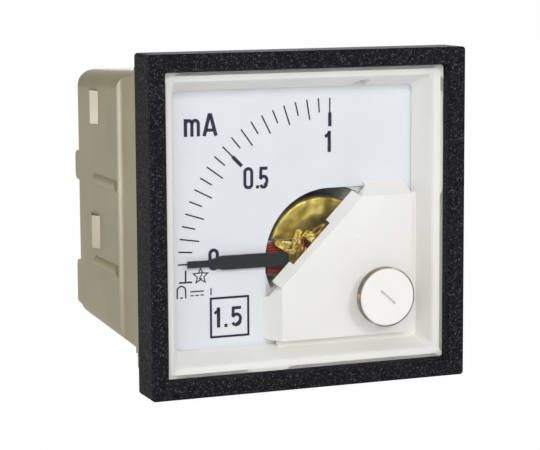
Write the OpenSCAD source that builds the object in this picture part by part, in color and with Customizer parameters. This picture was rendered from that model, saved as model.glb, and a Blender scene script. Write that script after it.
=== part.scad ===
// Moving-coil panel meter, 48 mm square front, 90 degree scale.
//
// +Z is up and the front faces -Y. The origin is the middle of the panel plane, where the back of the
// frame meets the panel. Each sub-part is drawn face-on, with x to the right, y up and z towards the
// reader, and face_on() then stands it up.

/* [Front frame] */
// Side of the square front frame
bezel_w = 48; // [46:0.5:54]
// Thickness of the front frame, from the panel to its front face
bezel_t = 6; // [5.5:0.1:8]
// Width of the flat front border
bezel_border = 2.4; // [2:0.1:3.5]
// Width of the bevel between the front border and the opening
bezel_lip = 0.1; // [0.05:0.05:0.4]
// Depth of the bevel between the front border and the opening
bezel_lip_depth = 0.25; // [0.1:0.05:0.8]
// Radius of the outer corners of the front frame
bezel_corner_r = 0.5; // [0.3:0.1:1.5]
// Width of the bevel round the front edge
bezel_edge = 0.2; // [0.1:0.05:0.5]
// Radius of the opening's corners
throat_r = 0.4; // [0.2:0.1:1]

/* [Window and front moulding] */
// Thickness of the clear window
window_t = 1.1; // [0.9:0.05:1.2]
// How far the window lies behind the front face
window_drop = 0.75; // [0.6:0.05:0.9]
// Width of the rounded rim of the tray
rim_w = 1.5; // [1.2:0.1:1.6]
// Depth of the rounded rim of the tray
rim_depth = 0.65; // [0.5:0.05:1.2]
// Inward slope of the tray's walls, from the rim to the dial
tray_slope = 1.5; // [0.8:0.1:2]
// Radius of the tray's corners at the dial
tray_corner_r = 0.8; // [0.5:0.1:2]
// Height of the tray's inner edge above the dial
tray_lift = 0.3; // [0.2:0.05:0.4]
// Height of the cover above the dial
cover_h = 2.95; // [2.8:0.05:3.2]
// Wall thickness of the cover
cover_wall = 0.9; // [0.7:0.05:1]
// Distance from the pivots to the left edge of the cover's face
cover_reach_left = 8.7; // [8.4:0.1:9.1]
// Distance from the pivots to the top edge of the cover's face
cover_reach_top = 8.7; // [8.3:0.1:9]
// Gap between the cover's face and the tray's foot on the right
cover_gap_right = 1.05; // [0.8:0.05:1.4]
// Gap between the cover's face and the tray's foot at the bottom
cover_gap_bottom = 0.65; // [0.5:0.05:1]
// Outward slope of the cover's left and top walls
cover_slope = 1.9; // [1.4:0.1:2.2]
// Depth of the groove between the cover and the tray's walls
groove_depth = 1.7; // [0.8:0.1:2]
// Distance from the pointer's pivot to the cover's slanting edge
cover_cut = 3.45; // [3.3:0.05:3.6]
// Reach of the cover's slanting wall to the left of the pivots
wall_left = 8.9; // [8.4:0.1:9.2]
// Reach of the cover's slanting wall to the right of the pivots
wall_right = 8.8; // [8:0.1:9.3]
// Height of the slanting wall's lower edge above the dial
wall_clear = 1.1; // [1:0.05:1.4]
// Height of the notch in the slanting wall, above the dial
notch_h = 1.85; // [1.7:0.05:2]
// Reach of the notch to the left of the pivots
notch_left = 5.1; // [4.5:0.1:5.6]
// Reach of the notch to the right of the pivots
notch_right = 3; // [2.6:0.1:3.6]

/* [Dial and scale] */
// Depth of the dial's face behind the front face
dial_depth = 6.7; // [6.4:0.1:7.2]
// Thickness of the dial plate
dial_t = 0.5; // [0.4:0.05:0.8]
// Gap between the dial plate and the skirt round it
dial_gap = 0.6; // [0.4:0.1:0.9]
// Distance from the pivots to the left edge of the dial's cut-out
cut_reach_left = 10.1; // [10:0.1:10.4]
// Distance from the pivots to the top edge of the dial's cut-out
cut_reach_top = 9.85; // [9.5:0.05:10]
// Distance from the pivots to the right and bottom edges of the dial's cut-out
cut_reach_far = 8.6; // [8.4:0.1:8.8]
// Radius of the cut-out's large corner
cut_r = 9.9; // [9.5:0.1:10.3]
// Number of divisions on the scale
divisions = 20; // [10:5:30]
// Angle swept from the first mark to the last
scale_sweep = 90; // [80:1:92]
// Gap between the marks' outer ends and the tray's foot
scale_gap = 0.6; // [0.4:0.05:1.6]
// Length of a short mark
tick_short = 2.05; // [1.5:0.05:2.5]
// Length of a long mark
tick_long = 2.95; // [2.6:0.05:3.3]
// Length of a main mark with its thick foot
tick_main = 4.1; // [3.6:0.1:4.6]
// Length of a main mark's thick foot
tick_foot = 2; // [1.5:0.1:2.4]
// Width of a thin mark
tick_w = 0.2; // [0.12:0.01:0.3]
// Width of a thick foot
tick_foot_w = 0.5; // [0.35:0.05:0.7]
// Thickness of the printed ink
ink_t = 0.04; // [0.02:0.01:0.08]

/* [Moving element] */
// Distance from the pivots to the tray's foot on the right
pivot_from_right = 12.75; // [12.5:0.05:13]
// Distance from the pivots to the tray's foot at the bottom
pivot_from_bottom = 12.25; // [12:0.05:12.5]
// Distance from the pointer's tip to the marks' outer ends
pointer_short = 1.25; // [0.5:0.05:2]
// Width of the pointer's broad part
pointer_w = 2; // [1.4:0.1:2.2]
// Width of the pointer's tip
tip_w = 0.95; // [0.4:0.05:1.2]
// Thickness of the pointer
pointer_t = 0.45; // [0.3:0.05:0.5]
// Gap between the pointer and the dial
pointer_gap = 0.35; // [0.25:0.05:0.4]
// Thickness of the pointer's carrier
carrier_t = 0.2; // [0.15:0.05:0.25]
// Width of the coil, along the rim of the core
coil_w = 4.5; // [3.5:0.1:4.7]
// Thickness of the winding
winding_t = 0.6; // [0.4:0.05:0.7]
// Thickness of the coil's former
former_t = 0.2; // [0.15:0.05:0.25]
// Radius of the steel pivots
pivot_r = 0.25; // [0.2:0.01:0.3]
// Height of the hairsprings' strip
spring_h = 0.45; // [0.3:0.05:0.5]
// Thickness of the hairsprings' strip
spring_t = 0.1; // [0.06:0.01:0.14]
// Number of turns of a hairspring
spring_turns = 6; // [4:1:7]
// Outer radius of a hairspring
spring_r = 4.9; // [4.4:0.1:4.9]

/* [Magnet system] */
// Radius of the core magnet
core_r = 8.2; // [7.8:0.05:8.25]
// Length of the core magnet
core_len = 10.3; // [8:0.1:12]
// Gap between the core's cap and the coil's front bar
cap_gap = 1.5; // [0.35:0.05:1.8]
// Inner radius of the soft-iron ring
yoke_r = 10.1; // [10.05:0.05:10.15]
// Wall thickness of the soft-iron ring
yoke_wall = 1.4; // [1:0.1:1.5]
// Thickness of the movement's moulded frame
frame_t = 2; // [1.6:0.1:2.5]
// Thickness of the front bridge
bridge_t = 0.4; // [0.3:0.05:0.45]
// Half width of the front bridge's arms
bridge_arm = 1.6; // [1.3:0.1:1.7]
// Thickness of the rear bridge
rear_bridge_t = 1.2; // [1:0.1:2]
// Radius of the pillars behind the frame
pillar_r = 1.3; // [1.1:0.1:1.5]

/* [Zero adjuster] */
// Distance from the pivots to the adjuster, sideways
adjuster_dx = 6.4; // [6.1:0.1:6.6]
// Distance from the pivots to the adjuster, downwards
adjuster_dy = 5.7; // [5.4:0.1:5.9]
// Radius of the adjuster's disc
adjuster_r = 4.2; // [3.8:0.1:4.4]
// Gap between the adjuster's disc and the hole in the window
adjuster_gap = 0.3; // [0.15:0.05:0.4]
// How far the adjuster's disc lies behind the front face
adjuster_drop = 0.5; // [0.2:0.05:0.7]
// Radius of the adjuster's stem
stem_r = 1.5; // [1.2:0.1:1.8]
// Throw of the adjuster's eccentric pin
pin_throw = 0.9; // [0.7:0.05:1]
// Radius of the adjuster's eccentric pin
pin_r = 0.5; // [0.35:0.05:0.55]
// Length of the screwdriver slot
slot_l = 3; // [2.6:0.1:5]
// Width of the screwdriver slot
slot_w = 0.4; // [0.3:0.05:0.8]
// Thickness of the zero lever
lever_t = 0.25; // [0.2:0.01:0.27]

/* [Housing] */
// Step from the front frame's side to the collar that passes the panel
collar_step = 1.8; // [1.6:0.05:2.1]
// Length of the collar behind the panel
collar_len = 6; // [4:0.5:8]
// Step from the collar's side to the housing behind it
case_step = 0.3; // [0.1:0.05:0.5]
// How far the housing's top lies inside its sides, at the rear
top_drop = 2.2; // [1.8:0.1:2.6]
// How far the housing's bottom lies inside its sides, at the rear
bottom_drop = 2.9; // [2.4:0.1:3.2]
// Length of the housing behind the panel
case_len = 35.9; // [34:0.1:40]
// Slope of the housing's top and bottom, in degrees
case_draft = 2.8; // [1.5:0.1:3]
// Wall thickness of the housing
case_wall = 1.5; // [1.2:0.1:1.6]
// Radius of the housing's long corners
case_corner_r = 3; // [1.5:0.1:3.4]
// Height of the ridges on the housing's rear
ridge_h = 3.9; // [2:0.1:5]
// Lower edge of the upper ridge
ridge_y = 2.3; // [1.5:0.1:3]
// Height of the upper ridge across the rear
ridge_w = 4.6; // [3.5:0.1:6]
// Upper edge of the lower ridge, which runs down to the housing's bottom
low_ridge_y = -10.4; // [-11:0.1:-9.5]
// Depth of the waist behind the collar
waist = 0.9; // [0.7:0.05:1.1]
// Radius of the shoulder behind the waist
shoulder_r = 2; // [1.2:0.1:2.2]
// How far the catches stand out
catch_out = 0.9; // [0.7:0.05:1.4]
// Height of a catch
catch_h = 5; // [3:0.1:6]
// Distance from the housing's rear to a catch
catch_z = 9.8; // [8:0.1:12]
// How far the guide ribs stand out
rib_out = 0.4; // [0.2:0.05:0.6]
// Radius of the terminal studs
stud_r = 2; // [1.5:0.1:2.5]
// Length of the terminal studs behind the ridges
stud_out = 8.5; // [8:0.5:14]
// Distance between the terminal studs
stud_pitch = 20; // [18:0.5:24]
// Height of the terminal studs
stud_y = -4.1; // [-5:0.1:-3.5]

/* [Hidden] */
$fn = 64;

// Clearances
fit_gap = 0.02;      // a part pressed or cemented in its hole
run_gap = 0.06;      // a shaft that turns in its hole
loose_gap = 0.15;    // moulded parts that slide past each other
air_gap = 0.25;      // moving parts that pass over fixed ones
overlap = 0.01;      // how far one cut runs past the face it opens

// Widths that follow from the front frame's
throat = bezel_w / 2 - bezel_border - bezel_lip;
window_half = throat - 0.1;
tray_top = window_half - 0.05;
tray_mid = tray_top - rim_w;
tray_low = tray_mid - tray_slope;
collar_w = bezel_w - 2 * collar_step;
case_w = collar_w - 2 * case_step;
case_top = case_w / 2 - top_drop;
case_bottom = case_w / 2 - bottom_drop;
mask_skirt_half = collar_w / 2 - case_wall - 0.4;
dial_w = 2 * (mask_skirt_half - dial_gap);

// Places on the dial, which follow from the tray's foot
pivot_x = tray_low - pivot_from_right;
pivot_y = pivot_from_bottom - tray_low;
scale_r = pivot_x + tray_low - scale_gap;
pointer_r = scale_r - pointer_short;
cover_left = pivot_x - cover_reach_left;
cover_right = tray_low - cover_gap_right;
cover_top = pivot_y + cover_reach_top;
cover_bottom = cover_gap_bottom - tray_low;
cut_left = pivot_x - cut_reach_left;
cut_right = pivot_x + cut_reach_far;
cut_top = pivot_y + cut_reach_top;
cut_bottom = pivot_y - cut_reach_far;
adjuster_x = pivot_x + adjuster_dx;
adjuster_y = pivot_y - adjuster_dy;

// Levels along the depth, with the panel at 0 and the front positive
window_front = bezel_t - window_drop;
window_back = window_front - window_t;
dial_face = bezel_t - dial_depth;
dial_back = dial_face - dial_t;
cover_face = dial_face + cover_h;
cover_under = cover_face - cover_wall;
pointer_low = dial_face + pointer_gap;
pointer_high = pointer_low + pointer_t;
carrier_high = dial_face + 0.05;
carrier_low = carrier_high - carrier_t;
spring_low = carrier_high + air_gap;
spring_high = spring_low + spring_h;
bridge_low = spring_high + 0.2;
bridge_high = bridge_low + bridge_t;
lever_low = bridge_high + run_gap;
lever_high = lever_low + lever_t;
boss_high = lever_high + run_gap;
head_high = boss_high + 0.2;
flange_high = dial_back - air_gap;
winding_high = flange_high - 0.1;
former_high = winding_high - winding_t;
coil_in_high = former_high - former_t;
cap_high = coil_in_high - cap_gap;
cap_depth = 1.5;
cap_r = core_r + 0.15;
core_high = cap_high - cap_depth;
core_low = core_high - core_len;
coil_in_low = core_low - 0.4;
former_low = coil_in_low - former_t;
winding_low = former_low - winding_t;
flange_low = winding_low - 0.1;
frame_low = dial_back - frame_t;
rear_bridge_high = flange_low - 0.8;
rear_bridge_low = rear_bridge_high - rear_bridge_t;
case_rear = -case_len;
rear_inside = case_rear + case_wall;
flare_low = -collar_len - 4.5;

// The coil's half width along its arms
coil_in_x = core_r + 0.42;
coil_out_x = coil_in_x + former_t + winding_t;
flange_w = 0.3;

// The movement's own directions
bridge_angle = 45;
free_half = 19.5;    // half of the sector that the coil never enters
pillar_reach = yoke_r + yoke_wall + pillar_r + 0.2;
post_reach = 9.4;
stop_reach = 5.6;
stop_r = 0.3;
stop_angle = 10.4;
tail_r = 7.4;
boss_r = 1.9;
adjuster_reach = norm([adjuster_dx, adjuster_dy]);
adjuster_angle = atan2(-adjuster_dy, adjuster_dx);
lug_angle = 140;
lug_r = spring_r + 0.2;

// The flange of the moulding round the dial
mask_flange_half = collar_w / 2;
mask_flange_low = window_back - 1.9;
mask_flange_t = 1;

// Colours
black_plastic = "#17181a";
cream_plastic = "#ebe7db";
case_cream = "#c9c3ac";
white_plastic = "#f2f2ee";
dial_white = "#eef1f6";
ink = "#23264a";
gilt = "#c9a83c";
brass = "#b99a4a";
bronze = "#b5703a";
steel = "#9a9ca0";
copper = "#8c2f12";
aluminium = "#aab4bc";
iron = "#b8a24a";
magnet_grey = "#55575b";
resin = "#3f6b4a";

// Stands a face-on drawing up in the panel
module face_on() {
    rotate([90, 0, 0]) children();
}

// Moves a drawing to the pivots
module at_pivot() {
    translate([pivot_x, pivot_y, 0]) children();
}

// A plate between two levels
module layer(low, high) {
    translate([0, 0, low]) linear_extrude(height = high - low) children();
}

// A square of half width a with round corners
module round_square(a, r) {
    round_rect(-a, a, -a, a, r);
}

// A rectangle between x0 and x1, y0 and y1, with round corners
module round_rect(x0, x1, y0, y1, r) {
    translate([x0 + r, y0]) square([x1 - x0 - 2 * r, y1 - y0]);
    translate([x0, y0 + r]) square([x1 - x0, y1 - y0 - 2 * r]);
    for (x = [x0 + r, x1 - r], y = [y0 + r, y1 - r]) translate([x, y]) circle(r);
}

// A square prism whose half width goes from a at the low level to b at the high one
module tapered(a, b, r, low, high) {
    translate([0, 0, low]) linear_extrude(height = high - low, scale = b / a) round_square(a, r, $fn = 32);
}

// A sector of a disc, between two angles
module sector(r, a0, a1) {
    steps = 24;
    polygon(concat([[0, 0]], [for (i = [0:steps]) r * 1.0 * dir(a0 + (a1 - a0) * i / steps)]));
}

// The unit vector at an angle
function dir(a) = [cos(a), sin(a)];

// Points of an arc round a centre
function arc(c, r, a0, a1, steps = 8) = [for (i = [0:steps]) c + r * dir(a0 + (a1 - a0) * i / steps)];

// ---- Front frame -------------------------------------------------------------------------------

// A square frame: a deep rim that slips over the collar, and a front border round a straight opening
module bezel() {
    recess_high = mask_flange_low + mask_flange_t + 0.1;
    color(black_plastic) face_on() difference() {
        union() {
            layer(0, bezel_t - bezel_edge) round_square(bezel_w / 2, bezel_corner_r);
            tapered(bezel_w / 2, bezel_w / 2 - bezel_edge, bezel_corner_r, bezel_t - bezel_edge, bezel_t);
        }
        layer(-overlap, recess_high) round_square(collar_w / 2 + loose_gap, bezel_corner_r);
        layer(0, bezel_t) round_square(throat, throat_r);
        tapered(throat, throat + bezel_lip, throat_r, bezel_t - bezel_lip_depth, bezel_t + overlap);
    }
}

// A clear pane that lies on the tray's rim, with a round hole for the adjuster
module window() {
    color("#dfe8ee", 0.25) face_on() difference() {
        layer(window_back, window_front) round_square(window_half, throat_r);
        translate([adjuster_x, adjuster_y, window_back - overlap])
            cylinder(r = adjuster_r + adjuster_gap, h = window_t + 2 * overlap);
    }
}

// What lies outside a leaning wall: it faces a direction, and stands at a reach from the middle at the
// cover's face, from where it leans outwards towards the dial
module beyond_wall(direction, reach, lean) {
    rotate(direction) rotate([90, 0, 0]) linear_extrude(height = 100, center = true) polygon([
        [reach - lean, cover_face + 1], [60, cover_face + 1],
        [60, dial_face - 1], [reach + lean * (cover_h + 1), dial_face - 1]]);
}

// The cover's block, made smaller by an inset: its left, top and slanting walls lean outwards
module cover_block(inset, low, top) {
    lean = cover_slope / cover_h;
    cut_lean = 0.6;
    cut_reach = cover_cut - (pivot_x - pivot_y) * cos(45);
    difference() {
        layer(low, top) round_rect(cover_left - cover_slope + inset, cover_right - inset,
            cover_bottom + inset, cover_top + cover_slope - inset, 0.8);
        beyond_wall(180, -cover_left - inset, lean);
        beyond_wall(90, cover_top - inset, lean);
        beyond_wall(135, cut_reach - inset, cut_lean);
    }
}

// One moulding: a rim and sloped walls round the dial, a flange that the frame holds, a skirt, and the cover
module front_mask() {
    groove_floor = cover_face - groove_depth;
    color(cream_plastic) face_on() difference() {
        union() {
            difference() {
                union() {
                    layer(mask_flange_low, window_back) round_square(tray_top, throat_r);
                    layer(mask_flange_low, mask_flange_low + mask_flange_t)
                        round_square(mask_flange_half, bezel_corner_r);
                    layer(dial_face, mask_flange_low + overlap) round_square(mask_skirt_half, 1);
                }
                layer(dial_face - overlap, dial_face + tray_lift)
                    round_square(tray_low + tray_lift, tray_corner_r);
                tapered(tray_low, tray_mid, tray_corner_r, dial_face, window_back - rim_depth);
                tapered(tray_mid, tray_mid + 0.15 * rim_w, tray_corner_r, window_back - rim_depth,
                        window_back - 0.5 * rim_depth);
                tapered(tray_mid + 0.15 * rim_w, tray_mid + 0.7 * rim_w, tray_corner_r,
                        window_back - 0.5 * rim_depth, window_back + overlap);
            }
            cover_block(0, dial_face, cover_face);
            layer(groove_floor - cover_wall, groove_floor) round_rect(cover_right - 3, mask_skirt_half - 0.5,
                -mask_skirt_half + 0.5, cover_top, 0.6);
            layer(groove_floor - cover_wall, groove_floor) round_rect(cover_left, mask_skirt_half - 0.5,
                -mask_skirt_half + 0.5, cover_bottom + 3, 0.6);
        }
        cover_block(cover_wall, dial_face - overlap, cover_under);
        slanting_wall_cuts();
        for (p = [[-3.4, -2], [3.4, 3.1]]) at_pivot() translate([p[0], p[1], cover_face + 0.94]) sphere(1);
        translate([adjuster_x, adjuster_y, 0]) cylinder(r = stem_r + run_gap, h = window_back);
    }
}

// What is cut from the cover's slanting wall: its two ends, the clearance below it for the pointer, and a
// notch for the zero lever's lug
module slanting_wall_cuts() {
    deep = 12;
    left_end = cover_cut * sqrt(2) + 0.5;
    top_end = left_end - 0.2;
    at_pivot() {
        layer(dial_face - overlap, dial_face + wall_clear) intersection() {
            rotate(45) translate([-20, 0]) square([40, deep]);
            translate([-20, -left_end + 0.1]) square([20 + top_end, 40]);
        }
        layer(dial_face - overlap, dial_face + notch_h)
            rotate(45) translate([-notch_left, 0]) square([notch_left + notch_right, deep]);
        layer(dial_face - overlap, cover_face + overlap) intersection() {
            rotate(45) {
                translate([-20, cover_cut + overlap]) square([20 - wall_left, deep]);
                translate([wall_right, cover_cut + overlap]) square([20, deep]);
            }
            translate([-20, -left_end]) square([20 + top_end, 40]);
        }
    }
}

// A slotted disc that stands a little proud of the window, on a boss, with a snap flange and an eccentric pin
module zero_adjuster() {
    disc_front = bezel_t - adjuster_drop;
    disc_back = window_back + 0.1;
    boss_back = cover_face + 0.1;
    flange_t = 0.2;
    snap_high = cover_under - 0.05;
    color(white_plastic) face_on() translate([adjuster_x, adjuster_y, 0]) rotate(adjuster_angle + 180)
    difference() {
        union() {
            rotate_extrude() polygon(concat(
                [[0, disc_back], [adjuster_r - 0.05, disc_back]],
                arc([adjuster_r - 0.35, disc_front - 0.35], 0.35, 0, 90),
                [[0, disc_front]]));
            translate([0, 0, boss_back]) cylinder(r = adjuster_r - 1.4, h = disc_back - boss_back + overlap);
            translate([0, 0, snap_high - flange_t]) cylinder(r = stem_r, h = disc_back - snap_high + flange_t);
            translate([0, 0, snap_high - flange_t]) cylinder(r = stem_r + 0.4, h = flange_t);
            translate([pin_throw, 0, lever_low - run_gap])
                cylinder(r = pin_r, h = snap_high - flange_t - lever_low + run_gap);
        }
        translate([-slot_l / 2, -slot_w / 2, disc_front - 0.5]) cube([slot_l, slot_w, 1]);
    }
}

// ---- Dial --------------------------------------------------------------------------------------

// The cut-out: a large round corner at the upper left, and straight edges that run under the cover
module dial_cut() {
    translate([cut_left + cut_r, cut_top - cut_r]) circle(cut_r, $fn = 128);
    translate([cut_left, cut_bottom]) square([cut_right - cut_left, cut_top - cut_r - cut_bottom]);
    translate([cut_left + cut_r, cut_bottom]) square([cut_right - cut_left - cut_r, cut_top - cut_bottom]);
}

// Places of the two screws that hold the dial, both under the cover
dial_screw_places = [[cut_right + 1.1, pivot_y + 5.7], [pivot_x - 7.2, cut_bottom - 1.1]];
dial_screw_r = 0.4;

// A flat plate with the large cut-out and two screw holes
module dial_plate() {
    color(dial_white) face_on() layer(dial_back, dial_face) difference() {
        round_square(dial_w / 2, 0.8);
        dial_cut();
        for (p = dial_screw_places) translate(p) circle(dial_screw_r + fit_gap);
    }
}

// Two small pan-head screws under the edge of the cover
module dial_screws() {
    head_t = 0.5;
    color(steel) face_on() for (p = dial_screw_places) translate([p[0], p[1], 0]) {
        translate([0, 0, dial_face]) cylinder(r = dial_screw_r + 0.28, h = head_t);
        translate([0, 0, frame_low + 0.4]) cylinder(r = dial_screw_r, h = dial_face - frame_low - 0.4 + overlap);
    }
}

// One mark that starts at radius r1 and ends at radius r0
module mark(r0, r1, w) {
    translate([r0, -w / 2]) square([r1 - r0, w]);
}

// The scale: main marks at each end and in the middle, long marks between them, short marks between those
module scale_marks() {
    color(ink) face_on() at_pivot() layer(dial_face, dial_face + ink_t)
    for (i = [0:divisions]) rotate(180 - scale_sweep * i / divisions) {
        is_main = i % (divisions / 2) == 0;
        length = is_main ? tick_main - tick_foot : (i % 2 == 0 ? tick_long : tick_short);
        mark(scale_r - length, scale_r, tick_w);
        if (is_main) mark(scale_r - tick_main, scale_r - length, tick_foot_w);
    }
}

// ---- Moving element ----------------------------------------------------------------------------

// A knife pointer: a broad part, a tapered shoulder, a narrow tip, and a foot on the carrier
module pointer() {
    root = 6.75;
    shoulder = pointer_r - 5.2;
    neck = pointer_r - 3.2;
    color(black_plastic) face_on() at_pivot() {
        layer(pointer_low, pointer_high) polygon(concat(
            arc([-root - 0.5, pointer_w / 2 - 0.5], 0.5, 0, 90, 5),
            [[-shoulder, pointer_w / 2], [-neck, tip_w / 2], [-pointer_r, tip_w / 2],
             [-pointer_r, -tip_w / 2], [-neck, -tip_w / 2], [-shoulder, -pointer_w / 2]],
            arc([-root - 0.5, -pointer_w / 2 + 0.5], 0.5, 270, 360, 5)));
        layer(carrier_high, pointer_low) translate([-root - 1.7, -0.6]) square([1.5, 1.2]);
    }
}

// A stamped carrier: an arm to the pointer with three lobes round its root, and two balance arms
module pointer_carrier() {
    arm = 8.4;
    fork = [3.2 - arm, 1.1];
    color(gilt) face_on() at_pivot() layer(carrier_low, carrier_high) difference() {
        union() {
            circle(1.9);
            translate([-arm, -0.65]) square([arm, 1.3]);
            lobe(fork, fork + [-3, 1.1], 1.15, 0.45);
            lobe(fork, fork + [0.3, 2.4], 1.2, 0.6);
            lobe(fork + [-0.2, -0.7], fork + [-0.7, -2.6], 1, 0.4);
            translate([0, -0.4]) square([tail_r, 0.8]);
            translate([-0.4, -5]) square([0.8, 5]);
        }
        circle(0.9 + fit_gap);
    }
}

// A tapering lobe from a wide round root to a narrow round tip
module lobe(a, b, ra, rb) {
    heading = atan2(b[1] - a[1], b[0] - a[0]);
    polygon(concat(arc(b, rb, heading - 90, heading + 90, 6), arc(a, ra, heading + 90, heading + 270, 8)));
}

// Wire sleeves on the tail that bring the moving element into balance
module balance_weights() {
    sleeve_r = 0.72;
    color(brass) face_on() at_pivot() for (x = [tail_r - 1.4, tail_r - 0.65])
        translate([x, 0, (carrier_low + carrier_high) / 2]) rotate([0, 90, 0]) difference() {
            cylinder(r = sleeve_r, h = 0.6, $fn = 32);
            cube([carrier_t + fit_gap, 0.8 + fit_gap, 2], center = true);
        }
}

// The winding: a flat band of enamelled wire round the former
module moving_coil() {
    color(copper) face_on() at_pivot() band(coil_out_x, winding_low, winding_high,
        coil_in_x + former_t + fit_gap / 2, former_low - fit_gap / 2, former_high + fit_gap / 2, coil_w - fit_gap);
}

// The former: a thin channel bent into a rectangle, open at its two pivots
module coil_former() {
    color(aluminium) face_on() at_pivot() {
        band(coil_in_x + former_t, former_low, former_high, coil_in_x, coil_in_low, coil_in_high, coil_w);
        for (s = [-1, 1]) translate([0, s * (coil_w + flange_w) / 2, 0])
            band(coil_out_x + 0.1, flange_low, flange_high, coil_in_x, coil_in_low, coil_in_high, flange_w);
    }
}

// A rectangular band round the core, from an outer to an inner outline, with width w
module band(x_out, low_out, high_out, x_in, low_in, high_in, w) {
    translate([0, w / 2, 0]) rotate([90, 0, 0]) linear_extrude(height = w) difference() {
        translate([-x_out, low_out]) square([2 * x_out, high_out - low_out]);
        translate([-x_in, low_in]) square([2 * x_in, high_in - low_in]);
    }
}

// A turned bush on the coil's front bar, which carries the pointer's carrier and the spring's inner end
module pivot_hub() {
    color(brass) face_on() at_pivot() difference() {
        union() {
            translate([0, 0, winding_high]) cylinder(r = 1.5, h = carrier_low - winding_high);
            translate([0, 0, winding_high]) cylinder(r = 0.9, h = spring_high - winding_high);
        }
        translate([0, 0, winding_high - overlap])
            cylinder(r = pivot_r + fit_gap, h = spring_high - winding_high + 2 * overlap);
    }
}

// A polished steel pivot that runs in the front jewel
module front_pivot() {
    color(steel) face_on() at_pivot() {
        translate([0, 0, winding_high]) cylinder(r = pivot_r, h = boss_high - 0.35 - winding_high);
    }
}

// A polished steel pivot that runs in the rear jewel
module rear_pivot() {
    color(steel) face_on() at_pivot() {
        translate([0, 0, rear_bridge_high - 0.6]) cylinder(r = pivot_r, h = winding_low - rear_bridge_high + 0.6);
    }
}

// A turned collet on the coil's rear bar, for the rear spring's inner end
module rear_spring_collet() {
    color(brass) face_on() at_pivot() difference() {
        translate([0, 0, rear_bridge_high + 0.15]) cylinder(r = 0.9, h = winding_low - rear_bridge_high - 0.15);
        translate([0, 0, rear_bridge_high])
            cylinder(r = pivot_r + fit_gap, h = winding_low - rear_bridge_high + 1);
    }
}

// A flat spiral strip from the hub out to its anchor, wound one way or the other
module hairspring(low, high, start, hand) {
    inner = 0.9 + 0.08;
    steps = 20 * spring_turns;
    r_at = function (i) inner + spring_t / 2 + (spring_r - spring_t - inner) * i / steps;
    a_at = function (i) start + hand * 360 * spring_turns * i / steps;
    color(bronze) face_on() at_pivot() layer(low, high) polygon(concat(
        [for (i = [0:steps]) (r_at(i) + spring_t / 2) * dir(a_at(i))],
        [for (i = [steps:-1:0]) (r_at(i) - spring_t / 2) * dir(a_at(i))]));
}

module front_hairspring() {
    hairspring(spring_low, spring_high, lug_angle, 1);
}

module rear_hairspring() {
    middle = (flange_low + rear_bridge_high) / 2;
    hairspring(middle - 0.2, middle + 0.2, lug_angle, -1);
}

// ---- Front bearing and zero lever --------------------------------------------------------------

// A stamped bar over the movement, with a boss for the front jewel and ears for the stops
module front_bridge() {
    color(gilt) face_on() at_pivot() difference() {
        union() {
            layer(bridge_low, bridge_high) rotate(bridge_angle) {
                circle(3.2);
                translate([-post_reach, -bridge_arm]) square([2 * post_reach, 2 * bridge_arm]);
                for (u = [-post_reach, post_reach]) translate([u, 0]) circle(bridge_arm);
                round_rect(-stop_reach, stop_reach, -4.1, 1, 0.5);
                round_rect(0.2, notch_right - 0.3, -1, 4.35, 0.6);
            }
            translate([0, 0, bridge_low]) cylinder(r = boss_r, h = boss_high - bridge_low);
        }
        translate([0, 0, bridge_low - 1]) cylinder(r = 1 + fit_gap, h = 4);
        for (u = [-post_reach, post_reach]) translate([u * dir(bridge_angle)[0], u * dir(bridge_angle)[1], 0])
            translate([0, 0, bridge_low - 1]) cylinder(r = 0.62, h = 3);
        for (a = [stop_angle, -90 - stop_angle]) translate([stop_reach * cos(a), stop_reach * sin(a), 0])
            translate([0, 0, bridge_low - 1]) cylinder(r = stop_r + fit_gap, h = 3);
    }
}

// A slotted brass screw with a blind hole for the front jewel; its head holds the zero lever down
module front_jewel_screw() {
    color(gilt) face_on() at_pivot() difference() {
        union() {
            translate([0, 0, boss_high]) cylinder(r = 2.3, h = head_high - boss_high);
            translate([0, 0, bridge_low - 0.1]) cylinder(r = 1, h = head_high - bridge_low + 0.1 - overlap);
        }
        translate([0, 0, bridge_low - 0.2]) cylinder(r = pivot_r + 0.05, h = boss_high - 0.25 - bridge_low + 0.2);
        translate([-3, -0.25, head_high - 0.12]) cube([6, 0.5, 1]);
    }
}

// Two cheese-head screws that hold the front bridge on the frame's posts
module bridge_screws() {
    color(steel) face_on() at_pivot() for (u = [-post_reach, post_reach])
        translate([u * cos(bridge_angle), u * sin(bridge_angle), 0]) difference() {
            union() {
                translate([0, 0, bridge_high]) cylinder(r = 1.2, h = 0.5);
                translate([0, 0, dial_back - 1]) cylinder(r = 0.6, h = bridge_high - dial_back + 1 + overlap);
            }
            translate([-2, -0.15, bridge_high + 0.3]) cube([4, 0.3, 1]);
        }
}

// Two pins under the bridge that stop the tail of the moving element
module pointer_stops() {
    color(steel) face_on() at_pivot() for (a = [stop_angle, -90 - stop_angle])
        translate([stop_reach * cos(a), stop_reach * sin(a), carrier_low])
            cylinder(r = stop_r, h = bridge_high - carrier_low, $fn = 32);
}

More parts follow.
